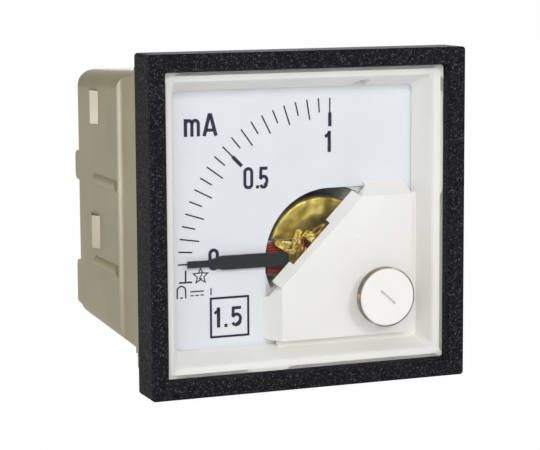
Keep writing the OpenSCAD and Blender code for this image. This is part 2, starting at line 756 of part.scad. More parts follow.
// A stamped lever: a ring on the bridge's boss, a fork at the adjuster's pin and a lug for the hairspring
module zero_lever() {
    fork_r = adjuster_reach - pin_throw;
    fork_tip = adjuster_reach + 0.6;
    slot_start = fork_r - pin_r - 0.7;
    color(gilt) face_on() at_pivot() {
        layer(lever_low, lever_high) difference() {
            union() {
                circle(3);
                rotate(adjuster_angle) {
                    translate([0, -0.8]) square([slot_start, 1.6]);
                    round_rect(slot_start - 1, fork_tip, -pin_r - 0.8, pin_r + 0.8, 0.4);
                }
                rotate(lug_angle) translate([0, -0.6]) square([lug_r + 0.4, 1.2]);
            }
            circle(boss_r + run_gap);
            rotate(adjuster_angle) translate([slot_start, -pin_r - 0.1]) square([4, 2 * pin_r + 0.2]);
        }
        layer(spring_low, lever_low + overlap) rotate(lug_angle) translate([lug_r, -0.6]) square([0.4, 1.2]);
    }
}

// ---- Magnet system -----------------------------------------------------------------------------

// The hole in the frame: the core's circle, and the two wide sectors that the coil sweeps through
module frame_hole() {
    circle(cap_r + fit_gap);
    for (a = [bridge_angle, bridge_angle + 180])
        sector(yoke_r, a + free_half, a + 180 - free_half);
}

// A moulded plate behind the dial, with posts for the bridge and two tongues that hold the core in the ring
module movement_frame() {
    half = collar_w / 2 - case_wall - loose_gap;
    color(white_plastic) face_on() difference() {
        union() {
            layer(frame_low, dial_back) difference() {
                round_square(half, 1);
                at_pivot() frame_hole();
            }
            at_pivot() for (u = [-1, 1]) translate([u * post_reach * cos(bridge_angle),
                    u * post_reach * sin(bridge_angle), dial_back - 0.5])
                cylinder(r = bridge_arm, h = bridge_low - dial_back + 0.5);
            at_pivot() layer(core_low, frame_low + overlap) difference() {
                for (a = [bridge_angle, bridge_angle + 180])
                    sector(yoke_r - fit_gap, a - free_half, a + free_half);
                circle(core_r + fit_gap);
            }
        }
        at_pivot() layer(core_high - fit_gap, dial_back + 1) circle(cap_r + fit_gap);
        for (p = dial_screw_places) translate([p[0], p[1], frame_low - 1])
            cylinder(r = dial_screw_r + fit_gap, h = frame_t + 2);
        at_pivot() for (u = [-1, 1]) translate([u * post_reach * cos(bridge_angle),
                u * post_reach * sin(bridge_angle), dial_back - 1.1])
            cylinder(r = 0.62, h = 5);
    }
}

// A spun cap over the front of the core: a raised rim, a shallow bowl and a low boss in its middle
module core_cap() {
    bowl = 0.9;
    bowl_r = cap_r - 1.5;
    boss = 1.7;
    lip = cap_depth - 0.35;
    steps = 8;
    color(gilt) face_on() at_pivot() translate([0, 0, core_high]) rotate_extrude($fn = 96) polygon(concat(
        [[0, 0], [cap_r, 0]],
        arc([cap_r - 0.35, lip], 0.35, 0, 90, 5),
        arc([cap_r - 0.9, lip], 0.35, 90, 180, 5),
        [for (i = [0:steps]) [bowl_r + (boss - bowl_r) * i / steps,
                              cap_depth - bowl + (bowl - 0.6) * pow(1 - i / steps, 2)]],
        [[boss - 0.2, cap_depth - bowl + 0.35], [0, cap_depth - bowl + 0.35]]));
}

// The round core magnet inside the coil
module core_magnet() {
    color(magnet_grey) face_on() at_pivot() translate([0, 0, core_low]) cylinder(r = core_r, h = core_len);
}

// The soft-iron ring that closes the magnetic circuit round the coil
module yoke_ring() {
    color(iron) face_on() at_pivot() layer(rear_bridge_high, frame_low) difference() {
        circle(yoke_r + yoke_wall, $fn = 96);
        circle(yoke_r, $fn = 96);
    }
}

pillar_angles = [45, 135, 225];

// Three turned pillars between the frame and the rear bridge, outside the ring
module movement_pillars() {
    color(brass) face_on() at_pivot() for (a = pillar_angles)
        translate([pillar_reach * cos(a), pillar_reach * sin(a), rear_bridge_high]) difference() {
            cylinder(r = pillar_r, h = frame_low - rear_bridge_high, $fn = 32);
            translate([0, 0, -overlap]) cylinder(r = 0.62, h = 3, $fn = 32);
        }
}

// A plate across the rear of the ring, with ears on the pillars, two windows and a boss for the rear jewel
module rear_bridge() {
    window_angle = 30;
    boss_web_r = 4.4;
    color(gilt) face_on() at_pivot() difference() {
        union() {
            layer(rear_bridge_low, rear_bridge_high) {
                circle(yoke_r + yoke_wall);
                for (a = pillar_angles) rotate(a) {
                    translate([pillar_reach, 0]) circle(pillar_r + 0.4);
                    translate([0, -pillar_r - 0.4]) square([pillar_reach, 2 * pillar_r + 0.8]);
                }
            }
            translate([0, 0, rear_bridge_low - 0.6]) cylinder(r = 2.4, h = 1);
            layer(rear_bridge_high - overlap, flange_low - 0.2) rotate(lug_angle)
                translate([spring_r + 0.05, -0.5]) square([0.5, 1]);
        }
        translate([0, 0, rear_bridge_low - 1]) cylinder(r = 1 + fit_gap, h = 4);
        for (a = pillar_angles) translate([pillar_reach * cos(a), pillar_reach * sin(a), rear_bridge_low - 1])
            cylinder(r = 0.62, h = 4);
        layer(rear_bridge_low - 1, rear_bridge_high + 1) for (a = [0, 180]) difference() {
            sector(yoke_r - 1, a - window_angle, a + window_angle);
            circle(boss_web_r);
        }
    }
}

// A slotted brass screw with a blind hole for the rear jewel
module rear_jewel_screw() {
    low = rear_bridge_low - 1;
    color(brass) face_on() at_pivot() difference() {
        translate([0, 0, low]) cylinder(r = 1, h = rear_bridge_high - 0.1 - low);
        translate([0, 0, rear_bridge_high - 0.7]) cylinder(r = pivot_r + 0.05, h = 2);
        translate([-2, -0.2, low - 1]) cube([4, 0.4, 1.4]);
    }
}

// Three screws from the rear into the pillars
module movement_screws() {
    color(steel) face_on() at_pivot() for (a = pillar_angles)
        translate([pillar_reach * cos(a), pillar_reach * sin(a), 0]) difference() {
            union() {
                translate([0, 0, rear_bridge_low - 0.9]) cylinder(r = 1.3, h = 0.9, $fn = 32);
                translate([0, 0, rear_bridge_low - overlap])
                    cylinder(r = 0.6, h = rear_bridge_t + 2.5, $fn = 32);
            }
            translate([-2, -0.2, rear_bridge_low - 1.4]) cube([4, 0.4, 0.9]);
        }
}

// ---- Housing -----------------------------------------------------------------------------------

// Half of the housing's side outline at a height: a collar, a waist, a rounded shoulder and a straight rear
function side_outline(inset, rear) = concat(
    [[0, mask_flange_low], [collar_w / 2 - inset, mask_flange_low], [collar_w / 2 - inset, -collar_len]],
    arc([case_w / 2 - waist + 1.2 - inset, -collar_len - 1.2], 1.2, 90, 180, 4),
    [[case_w / 2 - waist - inset, -collar_len - 5.5]],
    arc([case_w / 2 - shoulder_r - inset, -collar_len - 10], shoulder_r, 45, 0, 6),
    arc([case_w / 2 - 0.8 - inset, rear + 0.8], 0.8, 0, -90, 5),
    [[0, rear]]);

// The housing's top or bottom outline: a collar, a concave flare, and a straight run behind it
function height_outline(half, inset, rear) = concat(
    [[0, mask_flange_low], [collar_w / 2 - inset, mask_flange_low], [collar_w / 2 - inset, -collar_len]],
    arc([collar_w / 2 - inset, half - collar_w / 2 - collar_len], collar_w / 2 - half, 90, 180, 6),
    [[half - inset, rear], [0, rear]]);

// A long block whose top or bottom face has the housing's slope, with round corners along it
module drafted_block(half, inset) {
    translate([0, half, case_rear]) rotate([-case_draft, 0, 0]) translate([0, 0, -12])
        linear_extrude(height = 12 + case_len)
            round_rect(-case_w / 2 + inset, case_w / 2 - inset, -60, -inset, max(0.3, case_corner_r - inset));
}

// The housing's section behind its flare: sloped at the top and the bottom, with four round corners
module drafted_section(inset) {
    intersection() {
        drafted_block(case_top, inset);
        mirror([0, 1, 0]) drafted_block(case_bottom, inset);
    }
}

// The housing's form, made smaller all round by an inset and closed at a rear level
module case_form(inset, rear) {
    rise = (case_len + flare_low) * tan(case_draft);
    intersection() {
        union() for (s = [0, 1]) mirror([s, 0, 0])
            translate([0, 40, 0]) rotate([90, 0, 0]) linear_extrude(height = 80)
                polygon(side_outline(inset, rear));
        rotate([0, -90, 0]) translate([0, 0, -40]) linear_extrude(height = 80) union() {
            polygon([for (p = height_outline(case_top + rise, inset, rear)) [p[1], p[0]]]);
            polygon([for (p = height_outline(case_bottom + rise, inset, rear)) [p[1], -p[0]]]);
        }
        union() {
            intersection() {
                drafted_section(inset);
                layer(rear - 1, flare_low) square(80, center = true);
            }
            layer(flare_low - overlap, mask_flange_low + 1) round_square(collar_w / 2 - inset, 1);
        }
    }
}

// Heights of the catches, the guide ribs and the latch pockets on the housing's sides
catch_places = [12.1, -6.8];
rib_places = [3.6, -9];
latch_places = [-3.5, -12.4];

// A ridge across the housing's rear, between two heights, with round edges
module rear_ridge(y0, y1) {
    half = case_w / 2 - 0.75;
    edge_r = 1.1;
    intersection() {
        drafted_section(0.4);
        translate([-half, 0, 0]) rotate([0, 90, 0]) linear_extrude(height = 2 * half)
            polygon(concat([[-case_rear - 1, y0]],
                arc([-case_rear + ridge_h - edge_r, y0 + edge_r], edge_r, -90, 0, 5),
                arc([-case_rear + ridge_h - edge_r, y1 - edge_r], edge_r, 0, 90, 5), [[-case_rear - 1, y1]]));
    }
}

// A catch on the housing's side: a gentle ramp from the rear, and a steep face in front for a clamp's hook
module side_catch(y) {
    translate([case_w / 2, y, case_rear + catch_z]) rotate([-90, 0, 0]) linear_extrude(height = catch_h)
        polygon(concat([[-0.4, 3.5], [0, 3.5]],
            arc([catch_out - 0.5, 0.1], 0.5, 60, -30, 5),
            [[0, -1.5], [-0.4, -1.5]]));
}

// A low round rib along the housing's side, which guides a clamp
module guide_rib(y) {
    rib_r = 1.2;
    translate([case_w / 2 + rib_out - rib_r, y, case_rear + 9]) cylinder(r = rib_r, h = 11);
}

// One moulding: a collar through the panel, a waist, sloped walls, rear ridges, and catches for the clamps
module case() {
    latch = [1.2, 2.2, 1.5];
    color(case_cream) face_on() difference() {
        union() {
            case_form(0, case_rear);
            rear_ridge(ridge_y, ridge_y + ridge_w);
            rear_ridge(-case_bottom - 3, low_ridge_y);
            for (s = [0, 1]) mirror([s, 0, 0]) {
                for (y = catch_places) side_catch(y);
                for (y = rib_places) guide_rib(y);
            }
        }
        difference() {
            case_form(case_wall, rear_inside);
            layer(rear_inside - 1, frame_low) for (x = [-1, 1], y = [-1, 1])
                translate([x * (collar_w / 2 - 4.2), y * (collar_w / 2 - 4.2)]) square(7, center = true);
        }
        for (s = [-1, 1], y = latch_places) translate([s * (case_w / 2 - waist), y, -collar_len - 2.2])
            cube(latch, center = true);
        for (s = [-1, 1]) translate([s * stud_pitch / 2, stud_y, case_rear - 1])
            cylinder(r = neck_r + fit_gap, h = 4);
    }
}

washer_t = 0.8;
nut_t = 3.2;
stud_head_t = 1.6;
strap_t = 0.4;
strap_w = 3;
strap_up = 3.1;      // from the stud's middle to the strap's upright part
strap_gap = 3;       // between the straps and the rear bridge
neck_r = stud_r - 0.2;    // the studs' pitch radius, where the nut's thread meshes with theirs

// A threaded stud with a round head inside the housing. Its free end has the thread's outer radius.
module stud(side) {
    neck_low = case_rear - washer_t - nut_t;
    free_len = ridge_h + stud_out - washer_t - nut_t;
    color(brass) face_on() translate([side * stud_pitch / 2, stud_y, 0]) {
        translate([0, 0, neck_low - free_len]) cylinder(r = stud_r, h = free_len);
        translate([0, 0, neck_low - overlap]) cylinder(r = neck_r, h = rear_inside - neck_low + 2 * overlap);
        translate([0, 0, rear_inside]) cylinder(r = stud_r + 1.5, h = stud_head_t);
    }
}

module stud_positive() {
    stud(1);
}

module stud_negative() {
    stud(-1);
}

// Two plain washers on the studs
module terminal_washers() {
    color(brass) face_on() for (s = [-1, 1]) translate([s * stud_pitch / 2, stud_y, case_rear - washer_t])
        difference() {
            cylinder(r = stud_r * 2.2, h = washer_t);
            translate([0, 0, -1]) cylinder(r = neck_r + fit_gap, h = washer_t + 2);
        }
}

// Two hexagon nuts on the studs
module terminal_nuts() {
    color(brass) face_on() for (s = [-1, 1])
        translate([s * stud_pitch / 2, stud_y, case_rear - washer_t - nut_t]) difference() {
            cylinder(r = stud_r * 2.02, h = nut_t, $fn = 6);
            translate([0, 0, -1]) cylinder(r = neck_r + fit_gap, h = nut_t + 2);
        }
}

// Two bent strips that lead from the studs' heads to the movement
module lead_straps() {
    head_top = rear_inside + stud_head_t;
    foot = stud_r + 1;
    color(brass) face_on() for (s = [-1, 1]) translate([s * stud_pitch / 2 - strap_w / 2, 0, head_top]) {
        translate([0, stud_y - foot, 0]) cube([strap_w, foot + strap_up + strap_t, strap_t]);
        translate([0, stud_y + strap_up, 0]) cube([strap_w, strap_t, rear_bridge_low - strap_gap - head_top]);
    }
}

// A wire-wound resistor on a bobbin between the straps
module trim_resistor() {
    cheek_r = 2.4;
    wound_r = 1.7;
    left = -(stud_pitch + strap_w) / 2;
    color(resin) face_on() translate([left, stud_y + strap_up + strap_t + cheek_r,
            rear_bridge_low - strap_gap - cheek_r]) rotate([0, 90, 0]) {
        cylinder(r = cheek_r, h = strap_w);
        translate([0, 0, strap_w]) cylinder(r = wound_r, h = stud_pitch - strap_w);
        translate([0, 0, stud_pitch]) cylinder(r = cheek_r, h = strap_w);
    }
}

bezel();
window();
front_mask();
zero_adjuster();
dial_plate();
scale_marks();
dial_screws();
pointer();
pointer_carrier();
balance_weights();
moving_coil();
coil_former();
pivot_hub();
front_pivot();
rear_pivot();
rear_spring_collet();
front_hairspring();
rear_hairspring();
front_bridge();
front_jewel_screw();
bridge_screws();
pointer_stops();
zero_lever();
movement_frame();
core_cap();
core_magnet();
yoke_ring();
movement_pillars();
rear_bridge();
rear_jewel_screw();
movement_screws();
case();
stud_positive();
stud_negative();
terminal_washers();
terminal_nuts();
lead_straps();
trim_resistor();
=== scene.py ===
import math

import bmesh
import bpy
from mathutils import Matrix, Vector


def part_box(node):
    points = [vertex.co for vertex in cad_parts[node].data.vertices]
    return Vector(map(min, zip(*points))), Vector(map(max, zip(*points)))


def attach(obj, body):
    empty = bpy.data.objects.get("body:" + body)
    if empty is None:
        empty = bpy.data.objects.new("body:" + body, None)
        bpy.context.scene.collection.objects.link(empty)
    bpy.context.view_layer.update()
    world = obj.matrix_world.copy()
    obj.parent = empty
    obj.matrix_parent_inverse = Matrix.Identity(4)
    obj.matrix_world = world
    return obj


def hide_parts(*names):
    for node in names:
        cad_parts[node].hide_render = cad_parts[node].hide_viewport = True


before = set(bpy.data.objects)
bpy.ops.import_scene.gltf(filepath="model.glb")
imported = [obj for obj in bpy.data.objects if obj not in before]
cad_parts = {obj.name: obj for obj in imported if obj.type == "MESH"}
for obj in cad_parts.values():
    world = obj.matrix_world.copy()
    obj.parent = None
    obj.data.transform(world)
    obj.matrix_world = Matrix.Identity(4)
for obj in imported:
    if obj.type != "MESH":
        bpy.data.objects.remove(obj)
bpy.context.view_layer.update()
MM = 0.001


# ---- Housing -------------------------------------------------------------------------------------
# The deep square housing behind the panel, one moulding in cream ABS with sloped walls, catches and
# guide ribs. Its mould was polished, so the walls have soft highlights and the slow waves of a thin wall.

def linear(text):
    """An sRGB hex colour as linear red, green, blue and alpha."""
    shares = [int(text[i:i + 2], 16) / 255 for i in (1, 3, 5)]
    return tuple(s / 12.92 if s <= 0.04045 else ((s + 0.055) / 1.055) ** 2.4 for s in shares) + (1.0,)


def add(owner, kind, inputs=None, stops=(), **settings):
    """Adds a node to a material or the world, with its settings, its colour stops and its inputs."""
    node = owner.node_tree.nodes.new(kind)
    for name, value in settings.items():
        setattr(node, name, value)
    for index, (position, colour) in enumerate(stops):
        if index > 1:
            node.color_ramp.elements.new(position)
        node.color_ramp.elements[index].position = position
        node.color_ramp.elements[index].color = linear(colour)
    for name, value in (inputs or {}).items():
        if isinstance(value, bpy.types.NodeSocket):
            owner.node_tree.links.new(value, node.inputs[name])
        else:
            node.inputs[name].default_value = value
    return node


def finish(name):
    """A material of this name that has no nodes yet."""
    material = bpy.data.materials.new(name)
    material.use_nodes = True
    material.node_tree.nodes.clear()
    return material


def dress(names, material):
    """Gives solids of the frame a material."""
    for name in names:
        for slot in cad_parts[name].material_slots:
            slot.material = material


# Cream ABS from a polished mould: softly glossy, an olive cream with clouds 12 mm wide that barely
# show, and waves 9 mm long and 0.02 mm high, which bend the lamps' reflections a little.
cream_abs = finish("cream ABS, polished mould")
place = add(cream_abs, "ShaderNodeTexCoord")
mm = add(cream_abs, "ShaderNodeVectorMath", {0: place.outputs["Object"], 1: (1000, 1000, 1000)},
         operation="MULTIPLY")
cloud = add(cream_abs, "ShaderNodeTexNoise", {"Vector": mm.outputs[0], "Scale": 1 / 12, "Detail": 2})
tint = add(cream_abs, "ShaderNodeValToRGB", {"Fac": cloud.outputs["Fac"]},
           stops=[(0.35, "#99916f"), (0.65, "#a19977")])
wave = add(cream_abs, "ShaderNodeTexNoise", {"Vector": mm.outputs[0], "Scale": 1 / 9, "Detail": 0})
waves = add(cream_abs, "ShaderNodeBump", {"Height": wave.outputs["Fac"], "Distance": 0.02 * MM})
wear = add(cream_abs, "ShaderNodeTexNoise", {"Vector": mm.outputs[0], "Scale": 1 / 5, "Detail": 2})
gloss = add(cream_abs, "ShaderNodeMapRange",
            {"Value": wear.outputs["Fac"], "From Min": 0.3, "From Max": 0.7,
             "To Min": 0.42, "To Max": 0.47})
shader = add(cream_abs, "ShaderNodeBsdfPrincipled",
             {"Base Color": tint.outputs["Color"], "Roughness": gloss.outputs[0], "IOR": 1.48,
              "Specular IOR Level": 0.3, "Normal": waves.outputs["Normal"]})
add(cream_abs, "ShaderNodeOutputMaterial", {"Surface": shader.outputs[0]})
dress(["case"], cream_abs)


# ---- Terminals -----------------------------------------------------------------------------------
# Two M4 brass studs through the housing's rear, each with a plain washer and a hexagon nut, and brass
# straps inside to a small bobbin resistor. The threads are rolled and the nuts turned, and left bright.

def bright_metal(name, colour, darker, roughness, line, patch=1.6):
    """Turned or stamped metal: dull patches, and tool marks drawn as wide as they need to show."""
    material = finish(name)
    spot = add(material, "ShaderNodeTexCoord")
    in_mm = add(material, "ShaderNodeVectorMath", {0: spot.outputs["Object"], 1: (1000, 1000, 1000)},
                operation="MULTIPLY")
    dull = add(material, "ShaderNodeTexNoise",
               {"Vector": in_mm.outputs[0], "Scale": 1 / patch, "Detail": 4})
    shade = add(material, "ShaderNodeValToRGB", {"Fac": dull.outputs["Fac"]},
                stops=[(0.35, darker), (0.65, colour)])
    lines = add(material, "ShaderNodeTexNoise",
                {"Vector": in_mm.outputs[0], "Scale": 1 / line, "Detail": 2})
    cut = add(material, "ShaderNodeBump", {"Height": lines.outputs["Fac"], "Distance": 0.003 * MM})
    surface = add(material, "ShaderNodeBsdfPrincipled",
                  {"Base Color": shade.outputs["Color"], "Metallic": 1.0, "Roughness": roughness,
                   "Normal": cut.outputs["Normal"]})
    add(material, "ShaderNodeOutputMaterial", {"Surface": surface.outputs[0]})
    return material


# Brass from the lathe or the press: a warm yellow metal. Its tool marks are 0.05 mm wide and are
# drawn 0.15 mm wide.
brass = bright_metal("turned brass", "#c9a75a", "#a5863f", 0.26, 0.15)
dress(["terminal_washers", "lead_straps", "movement_pillars", "rear_jewel_screw", "rear_spring_collet",
       "pivot_hub", "balance_weights"], brass)


def piece(name, mesh, material, body, smooth=True):
    """Makes a named piece from a mesh, with a material, on a body."""
    data = bpy.data.meshes.new(name)
    mesh.normal_update()
    mesh.to_mesh(data)
    mesh.free()
    for polygon in data.polygons:
        polygon.use_smooth = smooth
    if smooth:
        data.set_sharp_from_angle(angle=math.radians(35))
    made = bpy.data.objects.new(name, data)
    bpy.context.scene.collection.objects.link(made)
    data.materials.append(material)
    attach(made, body)
    return made


def band(mesh, first, second):
    """Joins two rings of points with faces."""
    for i in range(len(first)):
        j = (i + 1) % len(first)
        mesh.faces.new([first[i], first[j], second[j], second[i]])


m4_pitch = 0.7
m4_crest = 2.0
m4_root = 1.6
turn_sides = 36
rows_per_turn = 12
head_r = 3.5
head_edge = 0.2
head_t = 1.6
shank_r = 1.8
for name in ("stud_positive", "stud_negative"):
    low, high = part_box(name)
    x, z = (low.x + high.x) / 2 / MM, (low.z + high.z) / 2 / MM
    inner, tip = low.y / MM, high.y / MM
    mesh = bmesh.new()
    rings = []
    rows = [(inner, head_r - head_edge), (inner + head_edge, head_r), (inner + head_t, head_r),
            (inner + head_t, shank_r)]
    steps = round((tip - inner - head_t) / m4_pitch * rows_per_turn)
    rows += [(inner + head_t + (tip - inner - head_t) * (j + 1) / steps, None) for j in range(steps)]
    for y, radius in rows:
        ring = []
        for i in range(turn_sides):
            r = radius
            if r is None:
                flank = abs((y / m4_pitch - i / turn_sides) % 1 - 0.5) * 2
                r = m4_crest - (m4_crest - m4_root) * min(1, max(0, 1.3 * flank - 0.15))
                r = min(r, m4_crest - 0.5 + (tip - y))
            a = 2 * math.pi * i / turn_sides
            ring.append(mesh.verts.new(((x + r * math.cos(a)) * MM, y * MM, (z + r * math.sin(a)) * MM)))
        rings.append(ring)
    for first, second in zip(rings, rings[1:]):
        band(mesh, first, second)
    mesh.faces.new(rings[0][::-1])
    mesh.faces.new(rings[-1])
    bmesh.ops.recalc_face_normals(mesh, faces=mesh.faces)
    made = piece(name + "_threaded", mesh, brass, "housing")
    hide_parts(name)

# hexagon nuts, 7 mm across their flats, chamfered at 30 degrees on both faces
nut_flat = 3.49
nut_face_r = 3.36
nut_bore_r = 1.83
chamfer_slope = 0.577
low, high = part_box("terminal_nuts")
mesh = bmesh.new()
for name in ("stud_positive", "stud_negative"):
    stud_low, stud_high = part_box(name)
    x, z = (stud_low.x + stud_high.x) / 2 / MM, (stud_low.z + stud_high.z) / 2 / MM
    front, rear = low.y / MM, high.y / MM
    rings = []
    for kind in ("bore", "face", "edge", "edge_rear", "face_rear", "bore_rear"):
        ring = []
        for i in range(48):
            a = 2 * math.pi * i / 48
            flat = nut_flat / math.cos((a + math.pi / 6) % (math.pi / 3) - math.pi / 6)
            r = {"bore": nut_bore_r, "face": nut_face_r, "edge": flat}[kind.replace("_rear", "")]
            lift = (flat - nut_face_r) * chamfer_slope if "edge" in kind else 0
            y = rear - lift if "rear" in kind else front + lift
            ring.append(mesh.verts.new(((x + r * math.cos(a)) * MM, y * MM, (z + r * math.sin(a)) * MM)))
        rings.append(ring)
    for first, second in zip(rings, rings[1:] + rings[:1]):
        band(mesh, first, second)
bmesh.ops.recalc_face_normals(mesh, faces=mesh.faces)
made = piece("terminal_nuts_chamfered", mesh, brass, "housing")
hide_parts("terminal_nuts")

# the raised signs beside the studs, moulded on the housing's rear with sloped sides
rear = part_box("terminal_washers")[0].y / MM
sign_x = 3.1
sign_z = (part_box("stud_positive")[0].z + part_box("stud_positive")[1].z) / 2 / MM
mesh = bmesh.new()
for x, is_plus in ((sign_x, True), (-sign_x, False)):
    rings = []
    for y, arm, half in ((rear - 0.1, 1.2, 0.32), (rear + 0.3, 1.1, 0.22)):
        corners = [(arm, half), (arm, -half), (-arm, -half), (-arm, half)]
        if is_plus:
            corners = [(half, half), (half, arm), (-half, arm), (-half, half), (-arm, half),
                       (-arm, -half), (-half, -half), (-half, -arm), (half, -arm), (half, -half),
                       (arm, -half), (arm, half)]
        rings.append([mesh.verts.new(((x + across) * MM, y * MM, (sign_z + up) * MM))
                      for across, up in corners])
    band(mesh, rings[0], rings[1])
    mesh.faces.new(rings[0][::-1])
    mesh.faces.new(rings[1])
bmesh.ops.recalc_face_normals(mesh, faces=mesh.faces)
piece("case_signs", mesh, cream_abs, "housing", smooth=False)

# Green phenolic resin, moulded and matt, with clouds 0.4 mm wide from its filler.
phenolic = finish("green phenolic resin")
place = add(phenolic, "ShaderNodeTexCoord")
mm = add(phenolic, "ShaderNodeVectorMath", {0: place.outputs["Object"], 1: (1000, 1000, 1000)},
         operation="MULTIPLY")
filler = add(phenolic, "ShaderNodeTexNoise", {"Vector": mm.outputs[0], "Scale": 1 / 0.4, "Detail": 4})
tint = add(phenolic, "ShaderNodeValToRGB", {"Fac": filler.outputs["Fac"]},
           stops=[(0.3, "#355c3f"), (0.7, "#477653")])
shader = add(phenolic, "ShaderNodeBsdfPrincipled",
             {"Base Color": tint.outputs["Color"], "Roughness": 0.55, "IOR": 1.55})
add(phenolic, "ShaderNodeOutputMaterial", {"Surface": shader.outputs[0]})
dress(["trim_resistor"], phenolic)


# ---- Magnet system -------------------------------------------------------------------------------
# A ground magnet stands inside a soft-iron ring, with a spun gilt cap over its front. A moulded white
# frame holds both, and stamped gilt bridges carry the bearings in front and behind.

# Gilt brass, pressed and tumbled: a bright greenish gold under a thin clear passivation that scatters a
# little, with soft dents 2.6 mm wide and 0.5 mm deep, so that it lights up in patches.
gilt = finish("gilt brass, tumbled")
place = add(gilt, "ShaderNodeTexCoord")
mm = add(gilt, "ShaderNodeVectorMath", {0: place.outputs["Object"], 1: (1000, 1000, 1000)},
         operation="MULTIPLY")
bloom = add(gilt, "ShaderNodeTexNoise", {"Vector": mm.outputs[0], "Scale": 1 / 2.4, "Detail": 3})
tint = add(gilt, "ShaderNodeValToRGB", {"Fac": bloom.outputs["Fac"]},
           stops=[(0.35, "#bfa242"), (0.65, "#efdc7c")])
dent = add(gilt, "ShaderNodeTexNoise", {"Vector": mm.outputs[0], "Scale": 1 / 2.6, "Detail": 1})
dents = add(gilt, "ShaderNodeBump", {"Height": dent.outputs["Fac"], "Distance": 0.5 * MM})
shader = add(gilt, "ShaderNodeBsdfPrincipled",
             {"Base Color": tint.outputs["Color"], "Metallic": 0.75, "Roughness": 0.4,
              "Normal": dents.outputs["Normal"]})
add(gilt, "ShaderNodeOutputMaterial", {"Surface": shader.outputs[0]})
dress(["rear_bridge"], gilt)

# The same brass, stamped and bright: small dents 0.9 mm wide and 0.3 mm deep make it sparkle, from
# nearly black to pale gold.
stamped = finish("gilt brass, stamped")
place = add(stamped, "ShaderNodeTexCoord")
mm = add(stamped, "ShaderNodeVectorMath", {0: place.outputs["Object"], 1: (1000, 1000, 1000)},
         operation="MULTIPLY")
bloom = add(stamped, "ShaderNodeTexNoise", {"Vector": mm.outputs[0], "Scale": 1 / 0.8, "Detail": 2})
tint = add(stamped, "ShaderNodeValToRGB", {"Fac": bloom.outputs["Fac"]},
           stops=[(0.35, "#b3923a"), (0.65, "#f3e08a")])
dent = add(stamped, "ShaderNodeTexNoise", {"Vector": mm.outputs[0], "Scale": 1 / 0.9, "Detail": 1})
dents = add(stamped, "ShaderNodeBump", {"Height": dent.outputs["Fac"], "Distance": 0.3 * MM})
shader = add(stamped, "ShaderNodeBsdfPrincipled",
             {"Base Color": tint.outputs["Color"], "Metallic": 0.9, "Roughness": 0.22,
              "Normal": dents.outputs["Normal"]})
add(stamped, "ShaderNodeOutputMaterial", {"Surface": shader.outputs[0]})
dress(["front_bridge", "front_jewel_screw", "zero_lever", "pointer_carrier"], stamped)

# Soft iron, turned and blackened: a very dark, nearly matt metal.
dress(["yoke_ring"], bright_metal("blackened soft iron", "#26241f", "#171614", 0.5, 0.3))

# the spun cap over the magnet's front: a rolled edge, a face that rises slightly, and a soft inner step
low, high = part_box("core_cap")
cap_x, cap_z = (low.x + high.x) / 2 / MM, (low.z + high.z) / 2 / MM
cap_r = (high.x - low.x) / 2 / MM
cap_front, cap_back = low.y / MM, high.y / MM
roll_r = 0.6
roll_y = cap_front + 0.75
rows = [(cap_r, cap_back), (cap_r, roll_y)]
rows += [(cap_r - roll_r + roll_r * math.cos(a), roll_y - roll_r * math.sin(a))
         for a in (math.pi / 2 * i / 6 for i in range(1, 7))]
rows += [(cap_r - roll_r - 2.4 * t, cap_front + 0.15 - 0.13 * t) for t in (0.2, 0.4, 0.6, 0.8, 1.0)]
rows += [(cap_r - 3.4, cap_front + 0.1), (cap_r - 3.9, cap_front + 0.3), (cap_r - 5.0, cap_front + 0.42),
         (cap_r - 6.2, cap_front + 0.45)]
mesh = bmesh.new()
rings = [[mesh.verts.new(((cap_x + r * math.cos(2 * math.pi * i / 96)) * MM, y * MM,
                          (cap_z + r * math.sin(2 * math.pi * i / 96)) * MM)) for i in range(96)]
         for r, y in rows]
for first, second in zip(rings, rings[1:]):
    band(mesh, first, second)
mesh.faces.new(rings[0][::-1])
mesh.faces.new(rings[-1])
bmesh.ops.recalc_face_normals(mesh, faces=mesh.faces)
made = piece("core_cap_spun", mesh, gilt, "housing")
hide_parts("core_cap")

# Steel, turned or ground: grey, with marks 0.05 mm wide that are drawn 0.2 mm wide.
steel = bright_metal("turned steel", "#a3a5a9", "#7d7f83", 0.3, 0.2)
dress(["core_magnet", "dial_screws", "bridge_screws", "pointer_stops", "movement_screws", "front_pivot",
       "rear_pivot"], steel)

# White acetal, moulded: smooth and a little glossy, with clouds 3 mm wide.
acetal = finish("white acetal, moulded")
place = add(acetal, "ShaderNodeTexCoord")
mm = add(acetal, "ShaderNodeVectorMath", {0: place.outputs["Object"], 1: (1000, 1000, 1000)},
         operation="MULTIPLY")
cloud = add(acetal, "ShaderNodeTexNoise", {"Vector": mm.outputs[0], "Scale": 1 / 3, "Detail": 2})
tint = add(acetal, "ShaderNodeValToRGB", {"Fac": cloud.outputs["Fac"]},
           stops=[(0.3, "#ecebe5"), (0.7, "#f1f0eb")])
shader = add(acetal, "ShaderNodeBsdfPrincipled",
             {"Base Color": tint.outputs["Color"], "Roughness": 0.35, "IOR": 1.48})
add(acetal, "ShaderNodeOutputMaterial", {"Surface": shader.outputs[0]})
dress(["movement_frame"], acetal)


# ---- Moving element ------------------------------------------------------------------------------
# A coil of enamelled wire on an aluminium former turns round the magnet. A stamped carrier on its front
# pivot holds the black pointer, brass sleeves on two tails balance it, and hairsprings bring it back.

